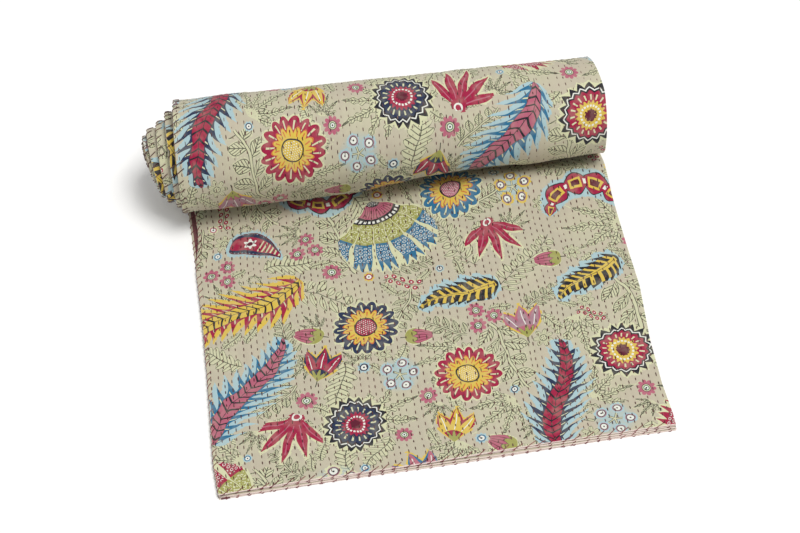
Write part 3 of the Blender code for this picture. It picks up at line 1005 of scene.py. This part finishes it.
def solve(tree, part, known):
    """The socket or number that one part of a formula comes to. Parts that repeat are worked out once."""
    if isinstance(part, ast.Constant):
        return float(part.value)
    if isinstance(part, ast.Name):
        return known[part.id]
    key = ast.dump(part)
    if key in known:
        return known[key]
    if isinstance(part, ast.UnaryOp):
        operation, given = "MULTIPLY", [-1.0, solve(tree, part.operand, known)]
    elif isinstance(part, ast.BinOp):
        operation = OPERATORS[type(part.op)]
        given = [solve(tree, part.left, known), solve(tree, part.right, known)]
    elif isinstance(part, ast.Compare):
        operation = COMPARISONS[type(part.ops[0])]
        given = [solve(tree, part.left, known), solve(tree, part.comparators[0], known)]
    else:
        operation = FUNCTIONS[part.func.id]
        given = [solve(tree, each, known) for each in part.args]
    known[key] = add(tree, "ShaderNodeMath", dict(enumerate(given)), operation=operation).outputs[0]
    return known[key]


def new_material(name):
    """(material, its node tree, its shader)."""
    material = bpy.data.materials.new(name)
    material.use_nodes = True
    return material, material.node_tree, material.node_tree.nodes["Principled BSDF"]


def attribute_values(tree, name):
    """The three values of a face corner's attribute, as sockets."""
    node = add(tree, "ShaderNodeAttribute", attribute_name=name)
    parts = add(tree, "ShaderNodeSeparateXYZ", {0: node.outputs["Vector"]})
    return parts.outputs


def tint_colour(tree, tint, inks):
    """One of these inks for each quarter of the tint."""
    ramp = add(tree, "ShaderNodeValToRGB", {0: tint})
    ramp.color_ramp.interpolation = "CONSTANT"
    steps = ramp.color_ramp.elements
    steps[1].position = 1 / 4
    for number in (2, 3):
        steps.new(number / 4)
    for step, ink in zip(steps, inks):
        step.color = linear(INKS[ink])
    return ramp.outputs[0]


def draw_forms(tree, below, prefix, forms, drawn):
    """Paints the forms over a colour, each where its attribute says. drawn holds the wobble and grain."""
    p, q, kind = attribute_values(tree, prefix)
    size, tint = attribute_values(tree, prefix + "_look")[:2]
    shared = {"p0": p, "q0": q, "kind": kind, "size": size, **drawn}
    for name, text in SHARED:
        shared[name] = expression(tree, text, shared)
    inks = {name: linear(colour) for name, colour in INKS.items()}
    if forms is MOTIFS:
        for name, choice in (("main", MAIN_INKS), ("second", SECOND_INKS), ("third", THIRD_INKS)):
            inks[name] = tint_colour(tree, tint, choice)
    if forms is SPRIGS:
        mix = {SHARE: expression(tree, WASH[0], shared), UNDER: below, OVER: inks[WASH[1]]}
        below = add(tree, "ShaderNodeMix", mix, data_type="RGBA").outputs[MIXED]
    for number, form in enumerate(forms):
        known = dict(shared)
        known["here"] = expression(tree, f"near(kind, {number}, 0.4)", known)
        for name, text in form.works.items():
            known[name] = expression(tree, text, known)
        for text, ink in form.paints:
            mask = expression(tree, f"here * ({text})", known)
            mix = {SHARE: mask, UNDER: below, OVER: inks[ink]}
            below = add(tree, "ShaderNodeMix", mix, data_type="RGBA").outputs[MIXED]
    return below


def printed_cotton():
    """Plain-woven cotton, block printed, quilted by hand and washed soft: matt, with a faint nap."""
    material, tree, shader = new_material("printed quilting cotton")
    cloth = add(tree, "ShaderNodeUVMap", uv_map="cloth").outputs[0]
    waves = add(tree, "ShaderNodeTexNoise", {"Vector": cloth, "Scale": WAVE_SCALE, "Detail": 0.0})
    wave_parts = add(tree, "ShaderNodeSeparateColor", {0: waves.outputs[1]}).outputs
    grain = add(tree, "ShaderNodeTexNoise", {"Vector": cloth, "Scale": GRAIN_SCALE, "Detail": 0.0})
    drawn = {"wave_x": wave_parts[0], "wave_y": wave_parts[1], "grain": grain.outputs[0]}
    patches = add(tree, "ShaderNodeTexNoise", {"Vector": cloth, "Scale": PATCH_SCALE, "Detail": 2.0})
    pink, green = (*settings().cloth_pink, 1.0), (*settings().cloth_green, 1.0)
    tones = {SHARE: patches.outputs[0], UNDER: pink, OVER: green}
    colour = add(tree, "ShaderNodeMix", tones, data_type="RGBA").outputs[MIXED]
    colour = draw_forms(tree, colour, "sprig", SPRIGS, drawn)
    colour = draw_forms(tree, colour, "motif", MOTIFS, drawn)
    # inks lie unevenly and have faded with washing
    uneven = add(tree, "ShaderNodeTexNoise", {"Vector": cloth, "Scale": FADE_SCALE, "Detail": 3.0})
    wear = expression(tree, "max(uneven - 0.42, 0) * 0.7", {"uneven": uneven.outputs[0]})
    faded = {SHARE: wear, UNDER: colour, OVER: linear(FADED)}
    colour = add(tree, "ShaderNodeMix", faded, data_type="RGBA").outputs[MIXED]
    # painted light: the turned end hem is painted a pale pink, lighter than the cloth, so that its shaded
    # edge looks lit; painted shadow: the reverse gets a dark maroon stripe beside its sewn edge, where the
    # gap under the set-in layers is in shade
    parts = add(tree, "ShaderNodeSeparateXYZ", {0: cloth}).outputs
    at = {"u": parts[0], "v": parts[1]}
    hem_light_mask = expression(tree, "0.85 * (v < 0.0011)", at)
    hem_lit = {SHARE: hem_light_mask, UNDER: colour, OVER: (*settings().hem_painted_light, 1.0)}
    colour = add(tree, "ShaderNodeMix", hem_lit, data_type="RGBA").outputs[MIXED]
    # painted shadow: the dark maroon stripe in the shaded gap beside the reverse's sewn edge
    gap_shadow = {SHARE: expression(tree, GAP_SHADOW_MASK, at), UNDER: colour, OVER: linear(INKS["maroon"])}
    colour = add(tree, "ShaderNodeMix", gap_shadow, data_type="RGBA").outputs[MIXED]
    tree.links.new(colour, shader.inputs["Base Color"])
    shader.inputs["Roughness"].default_value = 0.88
    shader.inputs["Specular IOR Level"].default_value = 0.25
    shader.inputs["Sheen Weight"].default_value = 0.12
    shader.inputs["Sheen Roughness"].default_value = 0.5
    # threads lie about 0.5 mm apart and are drawn 1 mm apart, which is as fine as shows
    weave = expression(tree, "sin(u * 6283) * sin(v * 6283)", at)
    bump = add(tree, "ShaderNodeBump", {"Height": weave, "Strength": 0.3, "Distance": 0.0002})
    tree.links.new(bump.outputs[0], shader.inputs["Normal"])
    return material


def sewing_thread(name, tone):
    """Stranded cotton thread, mercerised: a slight gloss along the twist, and worn paler here and there."""
    material, tree, shader = new_material(name)
    where = add(tree, "ShaderNodeTexCoord").outputs["Object"]
    shade = add(tree, "ShaderNodeTexNoise", {"Vector": where, "Scale": WEAR_SCALE, "Detail": 1.0})
    wear = add(tree, "ShaderNodeMapRange", {0: shade.outputs[0], 1: 0.4, 2: 0.75})
    fresh = Vector(tone) * 0.5
    worn = Vector(tone).lerp(Vector(settings().cloth_pink), 0.3)
    shades = {SHARE: wear.outputs[0], UNDER: (*fresh, 1.0), OVER: (*worn, 1.0)}
    colour = add(tree, "ShaderNodeMix", shades, data_type="RGBA").outputs[MIXED]
    tree.links.new(colour, shader.inputs["Base Color"])
    shader.inputs["Roughness"].default_value = 0.6
    shader.inputs["Specular IOR Level"].default_value = 0.35
    return material


# Stitching


def stitch_template():
    """One running stitch: a small lens along Y, about 1.7 long, 1.8 wide and 2 high."""
    bm = bmesh.new()
    bmesh.ops.create_icosphere(bm, subdivisions=1, radius=1.0)
    points = np.array([v.co for v in bm.verts])
    faces = np.array([[v.index for v in f.verts] for f in bm.faces])
    bm.free()
    return points, faces


def running_stitches(name, length, place, seed, material):
    """Rows of running stitch along the strip's shown face. place(share, along, raised) gives its points."""
    random = np.random.default_rng(seed)
    shares, alongs = [], []
    for row in range(QUILT_ROWS):
        pitch = settings().stitch_pitch * random.uniform(0.88, 1.12)
        at = random.uniform(0, pitch) + np.arange(FIRST_STITCH, length - pitch, pitch)
        at = at + random.normal(0, pitch * 0.06, len(at))
        centre = row + 0.5 + row_wander(row + 0.5, at) + random.normal(0, 0.03, len(at))
        shares.append(centre / QUILT_ROWS)
        alongs.append(at)
    share, along = np.concatenate(shares), np.concatenate(alongs)
    keep = (share > EDGE_FREE) & (share < 1 - EDGE_FREE)
    share, along = share[keep], along[keep]
    half = settings().stitch_length / 2 * random.uniform(0.75, 1.2, len(share))
    middle = place(share, along)
    ahead = place(share, along + half)
    behind = place(share, along - half)
    aside = place(share + FACE_PROBE / STRIP_WIDTH, along)
    axis = (ahead - behind) / 2
    right = aside - middle
    up = np.cross(right, axis)
    up /= np.linalg.norm(up, axis=1)[:, None]
    right = np.cross(axis, up)
    right /= np.linalg.norm(right, axis=1)[:, None]
    points, faces = stitch_template()
    thickness = settings().stitch_width * STITCH_FLATNESS
    centre = (ahead + behind) / 2 * 0.5 + middle * 0.5 + up * thickness * 0.1
    width = settings().stitch_width / 2 * random.uniform(0.85, 1.2, len(share))
    all_points = (
        centre[:, None]
        + points[None, :, 0, None] * (right * width[:, None])[:, None]
        + points[None, :, 1, None] * axis[:, None]
        + points[None, :, 2, None] * (up * thickness / 2)[:, None]
    )
    all_points[..., 2] = np.maximum(all_points[..., 2], 0)
    all_faces = faces[None] + np.arange(len(share))[:, None, None] * len(points)
    mesh = bpy.data.meshes.new(name)
    mesh.from_pydata(all_points.reshape(-1, 3), [], all_faces.reshape(-1, 3))
    return finish_piece(name, mesh, material)


# A whip stitch over a hem: depth in from the edge and height over the layer's far face, as shares of the
# stitch's reach and of the layer's thickness, and how far along its slant
WHIP = np.array([
    (0.12, -0.10, -0.25), (-0.03, 0.15, -0.12), (-0.06, 0.50, 0.00), (-0.03, 0.90, 0.12), (0.12, 1.22, 0.25),
    (0.45, 1.34, 0.55), (0.85, 1.24, 0.88), (1.00, 0.85, 1.00),
])
EDGE_ONLY = 5  # the points of a stitch whose run over the face is covered by the next layer
WHIP_PROUD = 0.007  # how far out from the edge a depth of -1 lies
Hem = namedtuple("Hem", "pitch reach slant")
END_HEM, END_EDGE = Hem(0.0150, 0.0062, 0.0110), Hem(0.0150, 0.0020, 0.0070)
SIDE_HEM, LOWEST_HEM = Hem(0.0120, 0.0050, 0.0070), Hem(0.0120, 0.0055, 0.0070)
ROLLED_HEM, ROLLED_EDGE = Hem(0.0120, 0.0085, -0.0055), Hem(0.0120, 0.0020, -0.0050)
DOUBLED = 1.25  # how much thicker the doubled thread along the sides in the roll is


def whip_stitches(length, hem, seed, surface, points=len(WHIP)):
    """Paths of whip stitches along a hem. surface(along, depth, height) gives points of one layer."""
    random = np.random.default_rng(seed)
    along = np.arange(hem.pitch / 2, length - abs(hem.slant), hem.pitch)
    along = along + random.normal(0, hem.pitch * 0.10, len(along)) + max(-hem.slant, 0)
    reach = hem.reach * random.uniform(0.8, 1.15, len(along))
    slant = hem.slant * random.uniform(0.75, 1.2, len(along))
    depth, height, slide = WHIP[:points].T
    depth = np.where(depth < 0, depth * WHIP_PROUD, depth * reach[:, None])
    return list(surface(along[:, None] + slide * slant[:, None], depth, np.broadcast_to(height, depth.shape)))


def thread_piece(name, paths, radius, material):
    """One mesh of threads along these paths."""
    curve = bpy.data.curves.new(name, "CURVE")
    curve.dimensions = "3D"
    curve.bevel_depth = radius
    curve.bevel_resolution = 1
    curve.use_fill_caps = True
    for path in paths:
        path[:, 2] = np.maximum(path[:, 2], radius)  # the stitches lie on the floor, not in it
        spline = curve.splines.new("POLY")
        spline.points.add(len(path) - 1)
        points = np.column_stack([path, np.ones(len(path))])
        spline.points.foreach_set("co", points.astype(np.float32).ravel())
    holder = bpy.data.objects.new(name, curve)
    bpy.context.scene.collection.objects.link(holder)
    bpy.context.view_layer.update()
    mesh = bpy.data.meshes.new_from_object(holder.evaluated_get(bpy.context.evaluated_depsgraph_get()))
    bpy.data.objects.remove(holder)
    bpy.data.curves.remove(curve)
    mesh.name = name
    return finish_piece(name, mesh, material)


def front_hem(layer):
    """The surface of a layer at the quilt's end hem."""
    def surface(along, depth, height):
        share = along / STRIP_WIDTH
        raised = relief(share, depth) * hem_share(HEM_RELIEF, depth) * (layer == 0)
        middle = level(layer) - LAYER / 2 + height * LAYER
        return loose_place(share, 0.0, middle, layer, depth - LOOSE_LENGTH, raised * (height > 1))
    return surface


def side_hem(layer):
    """The surface of a layer at its sewn side, on the loose end."""
    def surface(along, depth, height):
        raised = relief(depth / STRIP_WIDTH, along) * (height > 1) * (layer == 0)
        middle = level(layer) - LAYER / 2 + height * LAYER
        return loose_place(0.0, depth, middle, layer, along - LOOSE_LENGTH, raised)
    return surface


def rolled_hem(layer):
    """The surface of a layer at its sewn side, in the roll. Its shown face is the outer one."""
    def surface(along, depth, height):
        raised = relief(depth / STRIP_WIDTH, along) * (height > 1)
        inwards = level(layer) + LAYER / 2 - height * LAYER
        return roll_place(0.0, depth, inwards, turn_at(along), raised)
    return surface


# Camera and stage

CAMERA_AT = (-0.16559, -1.90015, 2.17275)
CAMERA_PITCH, CAMERA_YAW, CAMERA_ROLL = 51.388, 5.009, -4.405
CAMERA_LENS, CAMERA_SENSOR = 94.25, 36
LIGHTS = (  # name, width, watts, place, colour
    ("key", 3.3, 500, (2.2, -1.5, 8.0), (1.0, 0.99, 0.97)),
    ("fill", 2.0, 1.5, (1.4, -1.6, 1.8), (0.96, 0.98, 1.0)),
)
ROOM_LIGHT = 0.49
FLOOR_REACH = 12


def make_camera():
    """The camera looks down on the quilt from its front, a little from the left."""
    pitch, yaw, roll = (math.radians(angle) for angle in (CAMERA_PITCH, CAMERA_YAW, CAMERA_ROLL))
    forward = Vector((math.sin(yaw) * math.cos(pitch), math.cos(yaw) * math.cos(pitch), -math.sin(pitch)))
    level_right = Vector((math.cos(yaw), -math.sin(yaw), 0))
    level_up = level_right.cross(forward)
    right = math.cos(roll) * level_right + math.sin(roll) * level_up
    up = -math.sin(roll) * level_right + math.cos(roll) * level_up
    data = bpy.data.cameras.new("camera")
    data.lens, data.sensor_width = CAMERA_LENS, CAMERA_SENSOR
    camera = bpy.data.objects.new("camera", data)
    place = Matrix((right, up, -forward)).transposed().to_4x4()
    place.translation = Vector(CAMERA_AT) + Vector(ORIGIN)
    camera.matrix_world = place
    bpy.context.scene.collection.objects.link(camera)
    bpy.context.scene.camera = camera


def make_light(name, size, power, place, colour):
    data = bpy.data.lights.new(name, "AREA")
    data.size, data.energy, data.color = size, power, colour
    light = bpy.data.objects.new(name, data)
    light.location = place
    light.rotation_euler = (-Vector(place)).to_track_quat("-Z", "Y").to_euler()
    bpy.context.scene.collection.objects.link(light)


def make_stage():
    bm = bmesh.new()
    bmesh.ops.create_grid(bm, x_segments=1, y_segments=1, size=FLOOR_REACH)
    material, tree, shader = new_material("pale painted floor")
    shader.inputs["Base Color"].default_value = linear("#FCFCFC")
    shader.inputs["Roughness"].default_value = 0.9
    mesh = bpy.data.meshes.new("floor")
    bm.to_mesh(mesh)
    bm.free()
    mesh.materials.append(material)
    floor = bpy.data.objects.new("floor", mesh)
    bpy.context.scene.collection.objects.link(floor)
    world = bpy.data.worlds.new("studio")
    world.use_nodes = True
    background = world.node_tree.nodes["Background"]
    background.inputs[0].default_value = linear("#FFFFFF")
    background.inputs[1].default_value = ROOM_LIGHT
    bpy.context.scene.world = world
    for light in LIGHTS:
        make_light(*light)
    bpy.context.scene.view_settings.view_transform = "Standard"


# The add-on


class QuiltSettings(bpy.types.PropertyGroup):
    cloth_pink: bpy.props.FloatVectorProperty(
        name="Cloth, pinker", description="Unprinted cloth where it is a little pinker",
        subtype="COLOR", min=0, max=1, default=linear("#BFB2A0")[:3],
    )
    cloth_green: bpy.props.FloatVectorProperty(
        name="Cloth, greener", description="Unprinted cloth where it is a little greener",
        subtype="COLOR", min=0, max=1, default=linear("#B6B49D")[:3],
    )
    # Painted light: a pale pink for the end hem's turned edges, lighter than the cloth so that their shaded
    # face looks lit
    hem_painted_light: bpy.props.FloatVectorProperty(
        name="End hem", description="The turned edges of the cloth at the quilt's end",
        subtype="COLOR", min=0, max=1, default=linear("#E6D3CC")[:3],
    )
    # Also used for the roll's whip stitches, as the hem thread in painted shade
    thread_colour: bpy.props.FloatVectorProperty(
        name="Quilting thread", description="Thread of the running stitch",
        subtype="COLOR", min=0, max=1, default=linear("#60242A")[:3],
    )
    hem_thread_colour: bpy.props.FloatVectorProperty(
        name="Hem thread", description="Thread of the whip stitch",
        subtype="COLOR", min=0, max=1, default=linear("#92223A")[:3],
    )
    stitch_pitch: bpy.props.FloatProperty(
        name="Stitch spacing", description="From the start of one running stitch to the start of the next",
        default=0.0113, min=0.004, unit="LENGTH", subtype="DISTANCE",
    )
    stitch_length: bpy.props.FloatProperty(
        name="Stitch length",
        description="Nominal length of a running stitch, which is 0.85 of it from tip to tip",
        default=0.0064, min=0.001, unit="LENGTH", subtype="DISTANCE",
    )
    stitch_width: bpy.props.FloatProperty(
        name="Stitch width", description="Width of a running stitch at its middle",
        default=0.0017, min=0.0003, unit="LENGTH", subtype="DISTANCE",
    )
    hem_thread_radius: bpy.props.FloatProperty(
        name="Hem thread radius", description="Half the thickness of the whip stitch's thread",
        default=0.00048, min=0.0001, unit="LENGTH", subtype="DISTANCE",
    )
    row_relief: bpy.props.FloatProperty(
        name="Quilting relief", description="How far the cloth puffs up between two rows of running stitch",
        default=0.0008, min=0, max=0.0015, unit="LENGTH", subtype="DISTANCE",
    )
    print_layout: bpy.props.IntProperty(
        name="Print layout", description="Number from which the motifs are scattered over the cloth",
        default=3, min=0,
    )


class QUILT_OT_stage(bpy.types.Operator):
    """Adds the camera, the lights and the floor"""
    bl_idname = "quilt.stage"
    bl_label = "Stage"

    def execute(self, context):
        make_camera()
        make_stage()
        return {"FINISHED"}


class QUILT_OT_cloth(bpy.types.Operator):
    """Adds the quilt's cloth: the loose end, the outer turn and the turns inside it"""
    bl_idname = "quilt.cloth"
    bl_label = "Cloth"

    def execute(self, context):
        material = printed_cotton()
        rows = loose_rows()
        loose = make_cloth(
            "loose_end", section(FINE, COARSE, COARSE), rows, place_loose_end,
            rows[:, 0] + LOOSE_LENGTH, material,
        )
        rows = turn_rows(0, OUTER_ENDS, GRID_STEP)
        outer = make_cloth(
            "outer_turn", section(COARSE, FINE, COARSE), rows, place_roll,
            LOOSE_LENGTH + length_at(rows[:, 0]), material,
        )
        rows = turn_rows(OUTER_ENDS, LAST_TURN, INNER_STEP)
        inner = make_cloth(
            "inner_turns", section(HIDDEN, FINE_MARGINS, HIDDEN), rows, place_roll,
            LOOSE_LENGTH + length_at(rows[:, 0]), material,
        )
        return {"FINISHED"}


class QUILT_OT_running_stitch(bpy.types.Operator):
    """Adds the rows of running stitch on the loose end and on the roll"""
    bl_idname = "quilt.running_stitch"
    bl_label = "Running stitch"

    def execute(self, context):
        thread = sewing_thread("quilting thread", settings().thread_colour)

        def on_loose_end(share, along):
            y = along - LOOSE_LENGTH
            return loose_place(share, 0.0, STRIP, np.zeros_like(share), y, relief(share, along))

        def on_roll(share, along):
            return roll_place(share, 0.0, 0.0, turn_at(along), relief(share, along))

        running_stitches("stitches_loose_end", LOOSE_LENGTH - END_FREE, on_loose_end, 31, thread)
        running_stitches("stitches_roll", float(length_at(1.0)), on_roll, 32, thread)
        return {"FINISHED"}


class QUILT_OT_hem_stitch(bpy.types.Operator):
    """Adds the whip stitches over the quilt's hems, at its end and along its sides"""
    bl_idname = "quilt.hem_stitch"
    bl_label = "Hem stitch"

    def execute(self, context):
        thread = sewing_thread("hem thread", settings().hem_thread_colour)
        radius = settings().hem_thread_radius
        paths = whip_stitches(STRIP_WIDTH, END_HEM, 41, front_hem(0))
        for layer in range(1, LAYERS):
            paths += whip_stitches(STRIP_WIDTH, END_EDGE, 41 + layer, front_hem(layer), EDGE_ONLY)
        thread_piece("hem_stitches_front", paths, radius, thread)
        paths = whip_stitches(LOOSE_LENGTH, SIDE_HEM, 51, side_hem(0))
        paths += whip_stitches(LOOSE_LENGTH, LOWEST_HEM, 52, side_hem(LAYERS - 1))
        thread_piece("hem_stitches_side", paths, radius, thread)
        length = float(length_at(LAST_TURN))
        paths = whip_stitches(length, ROLLED_HEM, 61, rolled_hem(LAYERS - 1))
        paths += whip_stitches(length, ROLLED_EDGE, 62, rolled_hem(0), EDGE_ONLY)
        # painted shade: the roll's whip stitches take the darker quilting-thread colour, a shaded copy of the
        # hem thread for the roll's shaded end
        shaded_hem_thread = sewing_thread("browner hem thread", settings().thread_colour)
        thread_piece("hem_stitches_roll", paths, radius * DOUBLED, shaded_hem_thread)
        return {"FINISHED"}


class QUILT_PT_panel(bpy.types.Panel):
    """Lists the quilt's settings and pieces"""
    bl_idname = "QUILT_PT_panel"
    bl_label = "Rolled kantha quilt"
    bl_space_type = "VIEW_3D"
    bl_region_type = "UI"
    bl_category = "Quilt"

    def draw(self, context):
        layout = self.layout
        for name in QuiltSettings.__annotations__:
            layout.prop(context.scene.quilt_settings, name)
        for operator in OPERATORS_IN_ORDER:
            layout.operator(operator.bl_idname)


OPERATORS_IN_ORDER = (QUILT_OT_stage, QUILT_OT_cloth, QUILT_OT_running_stitch, QUILT_OT_hem_stitch)
CLASSES = (QuiltSettings, *OPERATORS_IN_ORDER, QUILT_PT_panel)


def register():
    for each in CLASSES:
        bpy.utils.register_class(each)
    bpy.types.Scene.quilt_settings = bpy.props.PointerProperty(type=QuiltSettings)


def unregister():
    del bpy.types.Scene.quilt_settings
    for each in reversed(CLASSES):
        bpy.utils.unregister_class(each)


def main():
    register()
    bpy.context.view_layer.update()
    bpy.ops.quilt.stage()
    bpy.ops.quilt.cloth()
    bpy.ops.quilt.running_stitch()
    bpy.ops.quilt.hem_stitch()


if __name__ == "__main__":
    main()
